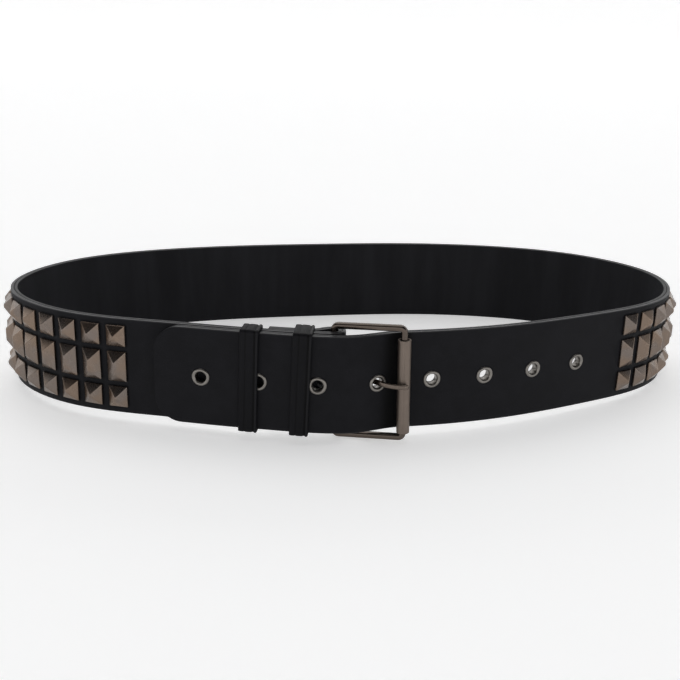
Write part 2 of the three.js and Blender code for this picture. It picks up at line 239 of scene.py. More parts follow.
def strap_line():
    """The strap's own middle, from the turned-back end to the tip.

    Gives its points, how much each leans with the bar, its lengths, where the bend round the
    bar starts, and the run's lengths s with those along the strap itself."""
    fold = np.arange(BAR_AT + FOLD_BACK, BAR_AT, -0.5)
    run = np.arange(BAR_AT, WAIST + TIP_AT + 0.5, 1.0)
    arm = off_line(BAR_AT, run_out(BAR_AT))[0] - BAR
    turn = np.linspace(math.pi, 0, 48, endpoint=False)
    c, s = np.cos(turn), np.sin(turn)
    bend = BAR + np.stack([arm[0] * c - arm[1] * s, arm[0] * s + arm[1] * c], 1)
    points = np.concatenate([off_line(fold, fold_out(fold)), bend, off_line(run, run_out(run))])
    run_lean = np.where(run < WAIST / 2, left_of(LEAN_FADES_OVER, run), 0)
    lean = np.concatenate([left_of(LEAN_FADES_OVER, fold), np.ones(len(turn)), run_lean])
    lengths = np.concatenate([[0], np.cumsum(np.linalg.norm(np.diff(points, axis=0), axis=1))])
    return points, lean, lengths, lengths[len(fold)], run, lengths[-len(run):]


LINE, LEAN, ALONG, BEND_ALONG, RUN_S, RUN_ALONG = strap_line()
TANGENT = np.gradient(LINE, ALONG, axis=0)
TANGENT /= np.linalg.norm(TANGENT, axis=1)[:, None]
LEAN_WAY = TANGENT[np.searchsorted(ALONG, RUN_ALONG[0])] * math.tan(BUCKLE_LEAN)


def along_at(s):
    """Length along the strap itself at length s of the run."""
    return np.interp(s, RUN_S, RUN_ALONG)


TIP_FROM = along_at(WAIST + TIP_AT - TIP_CORNER)


def eyelet_at(k):
    """Length s of an eyelet, counted from the tip."""
    return WAIST + EYELET_PITCH * (EYELET_IN_USE - k)


def on_run(s, z=MIDDLE):
    """Where a rigid piece sits on the run: its X right along the strap, Y up and Z out."""
    here = off_line(s, run_out(s))[0]
    way = off_line(s + 0.5, run_out(s + 0.5))[0] - off_line(s - 0.5, run_out(s - 0.5))[0]
    way /= np.linalg.norm(way)
    return Matrix(
        (
            (-way[0], 0, -way[1], here[0] * MM),
            (-way[1], 0, way[0], here[1] * MM),
            (0, 1, 0, z * MM),
            (0, 0, 0, 1),
        )
    )


def laid(flat):
    """Where points of the flat strap come to lie, in millimetres."""
    u = -flat[:, 0]
    here = np.stack([np.interp(u, ALONG, LINE[:, k]) for k in (0, 1)], 1)
    way = np.stack([np.interp(u, ALONG, TANGENT[:, k]) for k in (0, 1)], 1)
    way /= np.linalg.norm(way, axis=1)[:, None]
    shift = LEAN_WAY * (np.interp(u, ALONG, LEAN) * (flat[:, 1] - MIDDLE))[:, None]
    out = np.stack([-way[:, 1], way[:, 0]], 1)
    plan = here + out * flat[:, 2:3] + shift
    return np.concatenate([plan, flat[:, 1:2]], 1)


def standing():
    """The turn and shift that stand the belt on the floor, as the solids do."""
    tilt = Matrix.Rotation(LEAN_BACK, 4, "X")
    edge = np.concatenate([RUN_ALONG, RUN_ALONG])
    height = np.repeat([0.0, 2 * MIDDLE], len(RUN_ALONG))
    corners = laid(np.stack([-edge, height, np.full(len(edge), LINING_FACE)], 1)) * MM
    turned = [tilt @ Vector(corner) for corner in corners]
    low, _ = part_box("strap_lining")
    shift = [low[k] - min(v[k] for v in turned) for k in range(3)]
    return Matrix.Translation(shift) @ tilt


STAND = standing()


# Modelling helpers


def start(add, name, **sizes):
    """Adds a primitive with nothing else selected and names it."""
    bpy.ops.object.select_all(action="DESELECT")
    add(**sizes)
    piece = bpy.context.active_object
    piece.name = name
    piece.data.name = name
    return piece


def only(piece):
    bpy.ops.object.select_all(action="DESELECT")
    piece.select_set(True)
    bpy.context.view_layer.objects.active = piece


def apply(piece, kind, **settings):
    modifier = piece.modifiers.new(kind.title(), kind)
    for key, value in settings.items():
        setattr(modifier, key, value)
    only(piece)
    bpy.ops.object.modifier_apply(modifier=modifier.name)


def points_of(piece):
    flat = np.zeros(len(piece.data.vertices) * 3)
    piece.data.vertices.foreach_get("co", flat)
    return flat.reshape(-1, 3)


def move_points(piece, points):
    piece.data.vertices.foreach_set("co", np.asarray(points, float).ravel())
    piece.data.update()


def settle(piece, finish, nodes, body="belt", place=None, angle=30):
    """Puts a finished piece in the frame with its finish and its body."""
    piece.data.transform(STAND @ place if place is not None else STAND)
    only(piece)
    bpy.ops.object.shade_smooth_by_angle(angle=math.radians(angle))
    piece.data.materials.clear()
    piece.data.materials.append(finish)
    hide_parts(*nodes)
    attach(piece, body)


def copy_of(piece):
    """A copy with a mesh of its own."""
    copy = piece.copy()
    copy.data = piece.data.copy()
    bpy.context.collection.objects.link(copy)
    return copy


def join(pieces, name):
    bpy.ops.object.select_all(action="DESELECT")
    for piece in pieces:
        piece.select_set(True)
    bpy.context.view_layer.objects.active = pieces[0]
    bpy.ops.object.join()
    joined = bpy.context.active_object
    joined.name = name
    joined.data.name = name
    return joined


def ring(name, section):
    """A closed line of edges in the XY plane, as the start of a sweep."""
    piece = start(bpy.ops.mesh.primitive_circle_add, name, vertices=len(section), radius=1)
    move_points(piece, [(x * MM, y * MM, 0) for x, y in section])
    return piece


def round_section(half_x, half_y, squareness, sides):
    """A squared circle."""
    points = []
    for k in range(sides):
        turn = 2 * math.pi * (k + 0.5) / sides
        c, s = math.cos(turn), math.sin(turn)
        power = 2 / squareness
        points.append(
            (
                half_x * math.copysign(abs(c) ** power, c),
                half_y * math.copysign(abs(s) ** power, s),
            )
        )
    return points


def close_up():
    """Merges what meets in the piece being edited and turns every face outwards."""
    bpy.ops.mesh.select_all(action="SELECT")
    bpy.ops.mesh.remove_doubles(threshold=0.005 * MM)
    bpy.ops.mesh.normals_make_consistent(inside=False)
    bpy.ops.object.mode_set(mode="OBJECT")


def spun(name, profile, steps):
    """A turned piece: its profile is radius and height, and its axis is Z."""
    piece = ring(name, profile)
    move_points(piece, [(r * MM, 0, z * MM) for r, z in profile])
    bpy.ops.object.mode_set(mode="EDIT")
    bpy.ops.mesh.select_all(action="SELECT")
    bpy.ops.mesh.spin(
        steps=steps, angle=2 * math.pi, center=(0, 0, 0), axis=(0, 0, 1), use_auto_merge=False
    )
    close_up()
    return piece


def framed(name, section, half_x, half_y, corner, steps):
    """A bar swept round a rectangle with round corners, lying in the XY plane.

    The section's first number points out of the rectangle and its second along Z."""
    piece = ring(name, section)
    side_x, side_y = half_x - corner, half_y - corner
    move_points(piece, [((half_x + x) * MM, -side_y * MM, z * MM) for x, z in section])
    bpy.ops.object.mode_set(mode="EDIT")
    bpy.ops.mesh.select_all(action="SELECT")
    legs = (
        ((0, 2 * side_y), (side_x, side_y)),
        ((-2 * side_x, 0), (-side_x, side_y)),
        ((0, -2 * side_y), (-side_x, -side_y)),
        ((2 * side_x, 0), (side_x, -side_y)),
    )
    for (dx, dy), (x, y) in legs:
        bpy.ops.mesh.extrude_region_move(
            TRANSFORM_OT_translate={"value": (dx * MM, dy * MM, 0)}
        )
        bpy.ops.mesh.spin(
            steps=steps, angle=-math.pi / 2, center=(x * MM, y * MM, 0), axis=(0, 0, 1)
        )
    close_up()
    return piece


# Finishes


class Value:
    """A number or link in a material, which Python's own operators work on."""

    def __init__(self, finish, socket):
        self.finish = finish
        self.socket = socket

    def __add__(self, other):
        return self.finish.math("ADD", self, other)

    __radd__ = __add__

    def __sub__(self, other):
        return self.finish.math("SUBTRACT", self, other)

    def __rsub__(self, other):
        return self.finish.math("SUBTRACT", other, self)

    def __mul__(self, other):
        return self.finish.math("MULTIPLY", self, other)

    __rmul__ = __mul__

    def off(self, place):
        """Distance from a place."""
        return self.finish.math("ABSOLUTE", self - place)

    def wave(self, period):
        """Distance from the nearest whole step of a period, from 0 to half."""
        return self.finish.math("PINGPONG", self, period / 2)

    def step(self, low, high):
        """0 below low, 1 above high, smooth between."""
        settings = {"interpolation_type": "SMOOTHSTEP"}
        return self.finish.node(
            "MapRange", settings, {"Value": self, "From Min": low, "From Max": high}
        )


class Finish:
    """The nodes of a material or world in the making."""

    def __init__(self, owner):
        owner.use_nodes = True
        self.owner = owner
        self.tree = owner.node_tree
        self.tree.nodes.clear()

    def node(self, kind, settings=None, values=None, output=0):
        """Adds a node: its settings first, then the values or links of its sockets."""
        made = self.tree.nodes.new("ShaderNode" + kind)
        for key, value in (settings or {}).items():
            setattr(made, key, value)
        for key, value in (values or {}).items():
            if isinstance(value, Value):
                self.tree.links.new(value.socket, made.inputs[key])
            else:
                made.inputs[key].default_value = value
        return Value(self, made.outputs[output]) if len(made.outputs) else None

    def math(self, operation, *values):
        return self.node("Math", {"operation": operation}, dict(enumerate(values)))

    def place(self, kind="Object"):
        return self.node("TexCoord", output=kind)

    def flat(self, axis):
        """Place on a leather piece's own flat map, along X or Y."""
        return self.node("SeparateXYZ", {}, {0: self.node("UVMap", {"uv_map": "flat"})}, axis)

    def noise(self, place, scale, detail=3, roughness=0.5):
        values = {"Vector": place, "Scale": scale, "Detail": detail, "Roughness": roughness}
        return self.node("TexNoise", {}, values)

    def mix(self, amount, a, b):
        return self.node("Mix", {"data_type": "RGBA"}, {0: amount, 6: a, 7: b}, output=2)

    def bump(self, height, distance, strength=1.0, normal=None):
        values = {"Height": height, "Distance": distance, "Strength": strength}
        if normal is not None:
            values["Normal"] = normal
        return self.node("Bump", {}, values)

    def done(self, **sockets):
        """Ends in a Principled shader whose sockets are named with underscores for spaces."""
        values = {key.replace("_", " "): value for key, value in sockets.items()}
        shader = self.node("BsdfPrincipled", {}, values)
        self.node("OutputMaterial", {}, {"Surface": shader})
        return self.owner


def new_finish(name):
    return Finish(bpy.data.materials.new(name))


def rgb(shade, by=1.0):
    """A colour for a socket, darker or lighter by a factor."""
    return (shade[0] * by, shade[1] * by, shade[2] * by, 1)


BURNISH = 0.32
BURNISH_ROUGHNESS = 0.32


def leather_grain(finish, place, size):
    """Height of fine leather grain with cells about `size` metres across."""
    values = {"Vector": place, "Scale": 1 / size, "Randomness": 1.0}
    cells = finish.node("TexVoronoi", {"feature": "DISTANCE_TO_EDGE"}, values)
    pores = finish.noise(place, 2.6 / size, 2, 0.6)
    return cells.step(0.0, 0.16) * 0.7 + pores * 0.5


def near_edge(finish):
    """1 at the strap's long edges, on both plies, and 0 from 0.75 mm inside them."""
    height = finish.flat("Y")
    to_edge = finish.math("MINIMUM", height, 2 * MIDDLE * MM - height)
    return 1 - to_edge.step(0.10 * MM, 0.75 * MM)


def near_studs(finish, along, studs):
    """1 under the studs and 0 from a pucker's width beside them."""
    pucker = 1.6 * MM
    first = float(along_at(STUD_FIRST)) * MM
    last = float(along_at(STUD_FIRST + (STUD_COLUMNS - 1) * STUD_PITCH)) * MM
    from_column = (along - first).wave(STUD_PITCH * MM)
    beside = from_column.step(studs.width / 2, studs.width / 2 + pucker)
    from_row = finish.flat("Y").off(MIDDLE * MM)
    in_middle = 1 - from_row.step(studs.tall / 2, studs.tall / 2 + pucker)
    from_outer = from_row.off((STUD_ROWS["upper"] - MIDDLE) * MM)
    in_outer = 1 - from_outer.step(studs.small / 2, studs.small / 2 + pucker)
    in_row = finish.math("MAXIMUM", in_middle, in_outer)
    past_first = along.step(first - 6.0 * MM, first - 5.0 * MM)
    past_last = along.step(last + 5.0 * MM, last + 6.0 * MM)
    return (1 - beside) * in_row * past_first * (1 - past_last)


def roller_shadow(along):
    """1 in the roller's painted shadow on the strap, mostly on the side where the strap rises past
    it.
    """
    roller = float(along_at(WAIST + ROLLER_AT)) * MM
    before = along.step(roller - 5.0 * MM, roller - 2.0 * MM)
    return before * (1 - along.step(roller + 6.5 * MM, roller + 13.0 * MM))


def outer_leather(sizes, studs):
    """Smooth black leather: burnished edges, puckers round the studs with painted shade at their
    feet, and a painted shadow beside the roller.
    """
    finish = new_finish("outer leather")
    place = finish.place()
    along = finish.flat("X") * -1
    grain = leather_grain(finish, place, 0.75 * MM)
    broad = finish.noise(place, 22, 3)
    cloudy = finish.noise(place, 90, 4, 0.6)
    edge = near_edge(finish)
    near_stud = near_studs(finish, along, studs)
    base = finish.mix(cloudy.step(0.3, 0.75), rgb(sizes.black, 0.86), rgb(sizes.black, 1.18))
    # Painted shade: the leather is darkened round the studs' feet; the puckers themselves are a
    # bump.
    base = finish.mix(near_stud * 0.5, base, rgb(sizes.black, 0.55))
    base = finish.mix(edge * 0.8, base, rgb(sizes.black, 1.5))
    # Painted shadow: the strap is darkened beside the roller, where the roller shades it.
    base = finish.mix(roller_shadow(along) * 0.9, base, rgb(sizes.black, 0.12))
    rough = 0.50 + broad * 0.10 + cloudy * 0.08 - edge * 0.12
    low = finish.bump(near_stud * -1, sizes.pucker)
    waves = finish.bump(broad, 0.5 * MM, 0.35, low)
    normal = finish.bump(grain, 0.05 * MM, 0.55, waves)
    return finish.done(
        Base_Color=base,
        Roughness=rough,
        Normal=normal,
        Specular_IOR_Level=0.10,
        Coat_Weight=edge * BURNISH,
        Coat_Roughness=BURNISH_ROUGHNESS,
    )


def plain_leather(name, shade, size, rough, depth, specular, creased=None):
    """Plain leather for the lining, or for keepers when given the width that is creased, with
    painted shade in a keeper's groove and crease.
    """
    finish = new_finish(name)
    place = finish.place()
    grain = leather_grain(finish, place, size)
    upright = finish.node("Mapping", {}, {"Vector": place, "Scale": (1, 1, 0.12)})
    cloudy = finish.noise(upright, 60, 4, 0.6)
    base = finish.mix(cloudy.step(0.3, 0.7), rgb(shade, 0.80), rgb(shade, 1.25))
    ripple = finish.bump(finish.noise(upright, 34, 3), 1.0 * MM, 0.5)
    normal = finish.bump(grain, depth, 0.6, ripple)
    if creased is None:
        coat = near_edge(finish) * BURNISH
    else:
        across = finish.flat("X")
        from_bead = across + creased / 2
        beside = from_bead.off(1.55 * MM).step(0.2 * MM, 0.75 * MM)
        crease = across.off(creased / 2 - 2.7 * MM).step(0.1 * MM, 0.6 * MM)
        # Painted shade: the keeper is darkened in the groove beside the bead and in the crease.
        groove_shade = 1 - beside + (1 - crease) * 0.6
        base = finish.mix(groove_shade * 0.85, base, rgb(shade, 0.25))
        on_bead = 1 - from_bead.off(0.6 * MM).step(0.1 * MM, 0.7 * MM)
        coat = on_bead * 0.12 + 0.10
    return finish.done(
        Base_Color=base,
        Roughness=rough + cloudy * 0.14,
        Normal=normal,
        Specular_IOR_Level=specular,
        Coat_Weight=coat,
        Coat_Roughness=BURNISH_ROUGHNESS,
    )


def plated(name, shade, rough, wear, patchy=0.0):
    """Polished plated metal with fine scratches, and warm and cool patches where patchy."""
    finish = new_finish(name)
    place = finish.place()
    uneven = finish.noise(place, 140, 3, 0.6)
    stretched = finish.node("Mapping", {}, {"Vector": place, "Scale": (1, 1, 0.08)})
    scratches = finish.noise(stretched, 2600, 2, 0.7)
    warm = (shade[0] * 1.18, shade[1] * 1.02, shade[2] * 0.86, 1)
    cool = (shade[0] * 0.90, shade[1] * 0.94, shade[2] * 1.00, 1)
    patches = finish.noise(place, 70, 2, 0.6)
    base = finish.mix(patches.step(0.38, 0.62), cool, warm)
    base = finish.mix(patchy, rgb(shade), base)
    base = finish.mix(uneven.step(0.3, 0.75) * 0.35, base, rgb(shade, 0.78))
    base = finish.mix(scratches.step(0.62, 0.8) * wear, base, rgb(shade, 1.7))
    roughness = rough + uneven * 0.10 + scratches * 0.05
    normal = finish.bump(scratches + uneven * 2.0, 0.012 * MM, 0.5)
    return finish.done(Base_Color=base, Metallic=1.0, Roughness=roughness, Normal=normal)


def thread_finish():
    finish = new_finish("black thread")
    place = finish.place()
    twist = finish.node("TexWave", {}, {"Vector": place, "Scale": 900, "Distortion": 1.5})
    base = finish.mix(twist, rgb((0.010, 0.010, 0.011)), rgb((0.028, 0.028, 0.030)))
    return finish.done(Base_Color=base, Roughness=0.6, Normal=finish.bump(twist, 0.05 * MM, 0.6))


FLOOR_GLOW = 0.46


def floor_finish(shade):
    finish = new_finish("pale floor")
    cloudy = finish.noise(finish.place(), 3, 2)
    base = finish.mix(cloudy, rgb(shade, 0.985), rgb(shade, 1.015))
    return finish.done(
        Base_Color=base,
        Roughness=0.9,
        Specular_IOR_Level=0.2,
        Emission_Color=(1, 1, 1, 1),
        Emission_Strength=FLOOR_GLOW,
    )


# The strap


def flat_columns():
    """Where the flat strap's mesh is divided along its length."""
    roller_from, roller_to = along_at(WAIST - 22), along_at(WAIST + 24)
    stretches = (
        (0, BEND_ALONG, 14),
        (BEND_ALONG, RUN_ALONG[0], 27),
        (RUN_ALONG[0], roller_from, 291),
        (roller_from, roller_to, 31),
        (roller_to, TIP_FROM, 27),
    )
    tip = TIP_FROM + TIP_CORNER * np.sin(np.linspace(0, math.pi / 2, 13))
    return np.concatenate([*(np.linspace(*stretch)[:-1] for stretch in stretches), tip])


def cutters():
    """One cutting body for the eyelet holes and the prong's slot, in the flat strap."""
    deep = 8 * MM
    slot_from, slot_to = BEND_ALONG - SLOT_PAST_BEND, RUN_ALONG[0] + SLOT_PAST_BEND
    slot = start(
        bpy.ops.mesh.primitive_cube_add,
        "slot",
        size=1,
        location=(-(slot_from + slot_to) / 2 * MM, MIDDLE * MM, 0),
        scale=((slot_to - slot_from) * MM, SLOT_TALL * MM, deep),
    )
    bpy.ops.object.transform_apply(location=True, rotation=True, scale=True)
    apply(slot, "BEVEL", width=2.9 * MM, segments=6, limit_method="ANGLE", affect="EDGES")
    holes = [
        start(
            bpy.ops.mesh.primitive_cylinder_add,
            f"hole {k}",
            vertices=32,
            radius=(EYELET_BARREL + GAP) * MM,
            depth=deep,
            location=(-along_at(eyelet_at(k)) * MM, MIDDLE * MM, 0),
        )
        for k in range(EYELETS)
    ]
    cutter = join([slot, *holes], "cutter")
    bpy.ops.object.transform_apply(location=True, rotation=True, scale=True)
    return cutter


def flat_ply(name, middle, sizes):
    """One ply of the strap, flat, with its tip, rounded edges, holes and slot."""
    columns = flat_columns()
    ply = start(
        bpy.ops.mesh.primitive_grid_add,
        name,
        x_subdivisions=len(columns) - 1,
        y_subdivisions=16,
        size=1,
    )
    points = points_of(ply)
    column = np.rint((0.5 - points[:, 0]) * (len(columns) - 1)).astype(int)
    u = columns[column]
    turn = np.arcsin(np.clip((u - TIP_FROM) / TIP_CORNER, 0, 1))
    half = MIDDLE - TIP_CORNER * (1 - np.cos(turn))
    rise = points[:, 1] * 2 * half
    move_points(ply, np.stack([-u, MIDDLE + rise, np.full(len(u), middle)], 1) * MM)
    apply(ply, "SOLIDIFY", thickness=sizes.ply, offset=0)
    apply(
        ply,
        "BEVEL",
        width=sizes.edge,
        segments=3,
        limit_method="ANGLE",
        angle_limit=math.radians(60),
    )
    cutter = cutters()
    apply(ply, "BOOLEAN", operation="DIFFERENCE", object=cutter, solver="EXACT")
    bpy.data.objects.remove(cutter)
    return ply


def lay(piece):
    """Keeps the flat layout as the piece's own map, then lays the piece along the standing line."""
    flat = piece.data.uv_layers.get("flat") or piece.data.uv_layers.new(name="flat")
    points = points_of(piece)
    for corner in piece.data.loops:
        flat.data[corner.index].uv = points[corner.vertex_index, :2]
    piece.data.uv_layers.active = flat
    for layer in [each for each in piece.data.uv_layers if each.name != "flat"]:
        piece.data.uv_layers.remove(layer)
    move_points(piece, laid(points / MM) * MM)


class BELT_OT_outer_ply(bpy.types.Operator):
    """Adds the outer leather ply"""

    bl_idname = "belt.outer_ply"
    bl_label = "Outer ply"

    def execute(self, context):
        scene = context.scene
        ply = flat_ply("outer_ply", PLY_MIDDLE, scene.belt_strap)
        lay(ply)
        finish = outer_leather(scene.belt_strap, scene.belt_studs)
        settle(ply, finish, ["strap_outer"])
        return {"FINISHED"}


class BELT_OT_lining(bpy.types.Operator):
    """Adds the plain leather lining"""

    bl_idname = "belt.lining"
    bl_label = "Lining"

    def execute(self, context):
        sizes = context.scene.belt_strap
        ply = flat_ply("lining_ply", -PLY_MIDDLE, sizes)
        lay(ply)
        finish = plain_leather("lining leather", sizes.inner, 0.9 * MM, 0.56, 0.05 * MM, 0.08)
        settle(ply, finish, ["strap_lining"])
        return {"FINISHED"}


STITCH_ROWS = (3.0, 6.2)
STITCHES = 15
STITCH_FIRST = 3.8
STITCH_PITCH = 3.03
STITCH_HALF = 1.45


class BELT_OT_stitches(bpy.types.Operator):
    """Sews the turned-back end down with two rows of stitches"""

    bl_idname = "belt.stitches"
    bl_label = "Stitches"

    def execute(self, context):
        sizes = context.scene.belt_trim
        thick = sizes.thread / MM
        pattern = start(
            bpy.ops.mesh.primitive_uv_sphere_add, "stitches", segments=10, ring_count=8, radius=MM
        )
        shape = points_of(pattern) / MM * (thick / 2, STITCH_HALF, thick / 2)
        stitches = []
        for row in STITCH_ROWS:
            for k in range(STITCHES):
                stitch = copy_of(pattern)
                place = (-row, STITCH_FIRST + k * STITCH_PITCH, -HALF - 0.05)
                move_points(stitch, laid(shape + place) * MM)
                stitches.append(stitch)
        bpy.data.objects.remove(pattern)
        rows = join(stitches, "stitches")
        settle(rows, thread_finish(), [], angle=60)
        return {"FINISHED"}


# The studs


# How far studs tilt and turn, in degrees, and how far they stand in or out, in millimetres
STUD_ASKEW = (0.7, 0.7, 1.1)
STUD_UNEVEN = 0.05


def one_stud(sizes, tall):
    """A pyramid stud, or a hipped one where it is taller than wide, with softened edges."""
    width = sizes.width
    sunk = 0.3 * MM
    foot = sizes.skirt + sunk
    stud = start(
        bpy.ops.mesh.primitive_cube_add,
        "stud",
        size=1,
        location=(0, 0, foot / 2 - sunk),
        scale=(width, tall, foot),
    )
    bpy.ops.object.transform_apply(location=True, rotation=True, scale=True)
    bpy.ops.object.mode_set(mode="EDIT")
    bpy.ops.mesh.select_all(action="DESELECT")
    bpy.ops.object.mode_set(mode="OBJECT")
    for face in stud.data.polygons:
        face.select = face.normal.z > 0.9
    bpy.ops.object.mode_set(mode="EDIT")
    bpy.ops.mesh.extrude_region_move(
        TRANSFORM_OT_translate={"value": (0, 0, sizes.rise - sizes.skirt)}
    )
    tip = 0.6 * MM
    ridge = tip + max(tall - width, 0)
    bpy.ops.transform.resize(value=(tip / width, ridge / tall, 1))
    bpy.ops.object.mode_set(mode="OBJECT")
    apply(
        stud,
        "BEVEL",
        width=sizes.edge,
        segments=2,
        limit_method="ANGLE",
        angle_limit=math.radians(20),
    )
    return stud


class BELT_OT_studs(bpy.types.Operator):
    """Adds the three rows of studs"""

    bl_idname = "belt.studs"
    bl_label = "Studs"

    def execute(self, context):
        sizes = context.scene.belt_studs
        finish = plated("gunmetal studs", context.scene.belt_buckle.metal, 0.20, 0.5, 0.65)
        chance = random.Random(7)
        for row, height in STUD_ROWS.items():
            pattern = one_stud(sizes, sizes.tall if row == "middle" else sizes.small)
            studs = []
            for column in range(STUD_COLUMNS):
                stud = copy_of(pattern)
                askew = Euler([math.radians(chance.uniform(-most, most)) for most in STUD_ASKEW])
                out = HALF + chance.uniform(-STUD_UNEVEN, STUD_UNEVEN)
                seat = Matrix.Translation((0, 0, out * MM))
                place = on_run(STUD_FIRST + column * STUD_PITCH, height)
                stud.data.transform(place @ seat @ askew.to_matrix().to_4x4())
                studs.append(stud)
            bpy.data.objects.remove(pattern)
            field = join(studs, f"studs_{row}")
            settle(field, finish, ["strap_outer"], angle=12)
        return {"FINISHED"}


# The buckle

ACROSS = ROLLER - BAR
FRAME_HALF = float(np.linalg.norm(ACROSS)) / 2


def buckle_place():
    """X from the bar to the roller, Y up the frame as it leans, Z towards the front."""
    middle = (BAR + ROLLER) / 2 * MM
    turn = Matrix.Rotation(math.atan2(ACROSS[1], ACROSS[0]), 4, "Z")
    leaned = Matrix.Rotation(math.pi / 2, 4, "X") @ Matrix.Rotation(BUCKLE_LEAN, 4, "Z")
    up = (BUCKLE_TALL / 2 - BUCKLE_BELOW) * MM
    return Matrix.Translation((middle[0], middle[1], up)) @ turn @ leaned


class BELT_OT_buckle_frame(bpy.types.Operator):
    """Adds the buckle's wire frame"""

    bl_idname = "belt.buckle_frame"
    bl_label = "Buckle frame"

    def execute(self, context):
        sizes = context.scene.belt_buckle
        wide, deep = sizes.in_plane / MM, sizes.off_plane / MM
        section = round_section(wide, deep, 2.9, 28)
        wire_frame = framed(
            "wire_frame", section, FRAME_HALF, BUCKLE_TALL / 2 - wide, sizes.corner / MM, 12
        )
        # Painted shade: the frame's gunmetal is darkened below the roller's and studs' to stand in
        # for the strap's shade on the wire.
        finish = plated("gunmetal frame", rgb(sizes.metal, 0.56), 0.16, 0.4)
        settle(wire_frame, finish, ["buckle_frame"], place=buckle_place())
        return {"FINISHED"}


class BELT_OT_roller(bpy.types.Operator):
    """Adds the roller on the frame's outer wire"""

    bl_idname = "belt.roller"
    bl_label = "Roller"

    def execute(self, context):
        sizes = context.scene.belt_buckle
        r, bore, long = sizes.roller / MM, ROLLER_BORE, ROLLER_LONG
        profile = [
            (bore, 0.25), (bore + 0.15, 0.06), (bore + 0.45, 0), (r - 0.3, 0), (r - 0.09, 0.09),
            (r, 0.32), (r, 0.9), (r, long - 0.9), (r, long - 0.32), (r - 0.09, long - 0.09),
            (r - 0.3, long), (bore + 0.45, long), (bore + 0.15, long - 0.06), (bore, long - 0.25),
        ]
        roller = spun("roller", profile, 64)
        points = points_of(roller) / MM
        out = np.hypot(points[:, 0], points[:, 1])
        seam = (points[:, 1] < -0.99 * out) & (out > r - 0.35)
        points[seam, :2] *= (1 - SEAM_DEEP / out[seam])[:, None]
        move_points(roller, points * MM)
        bottom = sizes.corner / MM + sizes.in_plane / MM - BUCKLE_TALL / 2 + GAP
        seat = Matrix.Translation((FRAME_HALF * MM, bottom * MM, 0))
        place = buckle_place() @ (seat @ Matrix.Rotation(-math.pi / 2, 4, "X"))
        finish = plated("gunmetal roller", rgb(sizes.metal, 0.98), 0.40, 0.4)
        settle(roller, finish, ["buckle_roller"], body="roller", place=place)
        return {"FINISHED"}


# How far right of the bar, how far outside the middle line, and how thick
PRONG_BENDS = (
    (2.9, -1.7, 1.8),
    (11.5, -1.7, 1.8),
    (16.5, -1.0, 1.8),
    (20.1, 2.7, 1.8),
    (23.2, 6.4, 1.9),
    (27.5, 9.3, 2.0),
    (32.1, 10.9, 1.8),
    (34.5, 10.7, 1.2),
)
PRONG_TIP_SHARE = 0.07
PRONG_NARROWS = 0.2
PRONG_LOOP = 3.0


def prong_line(t):
    """Points and thickness along the prong for t from 0 to 1, smooth through its bends."""
    knots = np.array(
        [(*off_line(BAR_AT - at, out)[0], thick) for at, out, thick in PRONG_BENDS], float
    )
    ends = np.vstack([2 * knots[0] - knots[1], knots, 2 * knots[-1] - knots[-2]])
    place = np.clip(t, 0, 1) * (len(knots) - 1)
    i = np.minimum(np.floor(place).astype(int), len(knots) - 2)
    u = (place - i)[:, None]
    a, b, c, d = (ends[i + k] for k in range(4))
    bent = (2 * a - 5 * b + 4 * c - d) * u**2 + (3 * b - a - 3 * c + d) * u**3
    return 0.5 * (2 * b + (c - a) * u + bent)


def squared(value):
    """A circle's sine or cosine, drawn out towards a square's."""
    return np.sign(value) * np.abs(value) ** 0.75


def prong_shaft(wide):
    """The prong without its loop: a squared rod along its bends, slimmer to a rounded tip."""
    shaft = start(
        bpy.ops.mesh.primitive_cylinder_add,
        "prong",
        vertices=20,
        radius=1,
        depth=1,
        end_fill_type="TRIFAN",
    )
    bpy.ops.object.mode_set(mode="EDIT")
    bpy.ops.mesh.select_all(action="DESELECT")
    bpy.ops.object.mode_set(mode="OBJECT")
    for line in shaft.data.edges:
        a, b = (shaft.data.vertices[k].co for k in line.vertices)
        line.select = abs(a.z - b.z) > 0.5
    bpy.ops.object.mode_set(mode="EDIT")
    bpy.ops.mesh.subdivide(number_cuts=47)
    bpy.ops.object.mode_set(mode="OBJECT")
    points = points_of(shaft)
    t = points[:, 2] + 0.5
    line = prong_line(t)
    way = prong_line(np.minimum(t + 1e-3, 1)) - prong_line(np.maximum(t - 1e-3, 0))
    way = way[:, :2] / np.linalg.norm(way[:, :2], axis=1)[:, None]
    out = np.stack([-way[:, 1], way[:, 0]], 1)
    near_tip = np.sqrt(np.clip((1 - t) / PRONG_TIP_SHARE, 0, 1))
    slim = np.where(t > 1 - PRONG_TIP_SHARE, 0.15 + 0.85 * near_tip, 1.0)
    turn = np.arctan2(points[:, 1], points[:, 0])
    radius = np.minimum(np.hypot(points[:, 0], points[:, 1]), 1)
    thick_way = squared(np.cos(turn)) * radius
    wide_way = squared(np.sin(turn)) * radius
    offset = out * (thick_way * slim * line[:, 2] / 2)[:, None]
    rise = MIDDLE + wide_way * slim * wide / 2 * (1 - PRONG_NARROWS * t)
    move_points(shaft, np.concatenate([line[:, :2] + offset, rise[:, None]], 1) * MM)
    bpy.ops.object.mode_set(mode="EDIT")
    close_up()
    return shaft


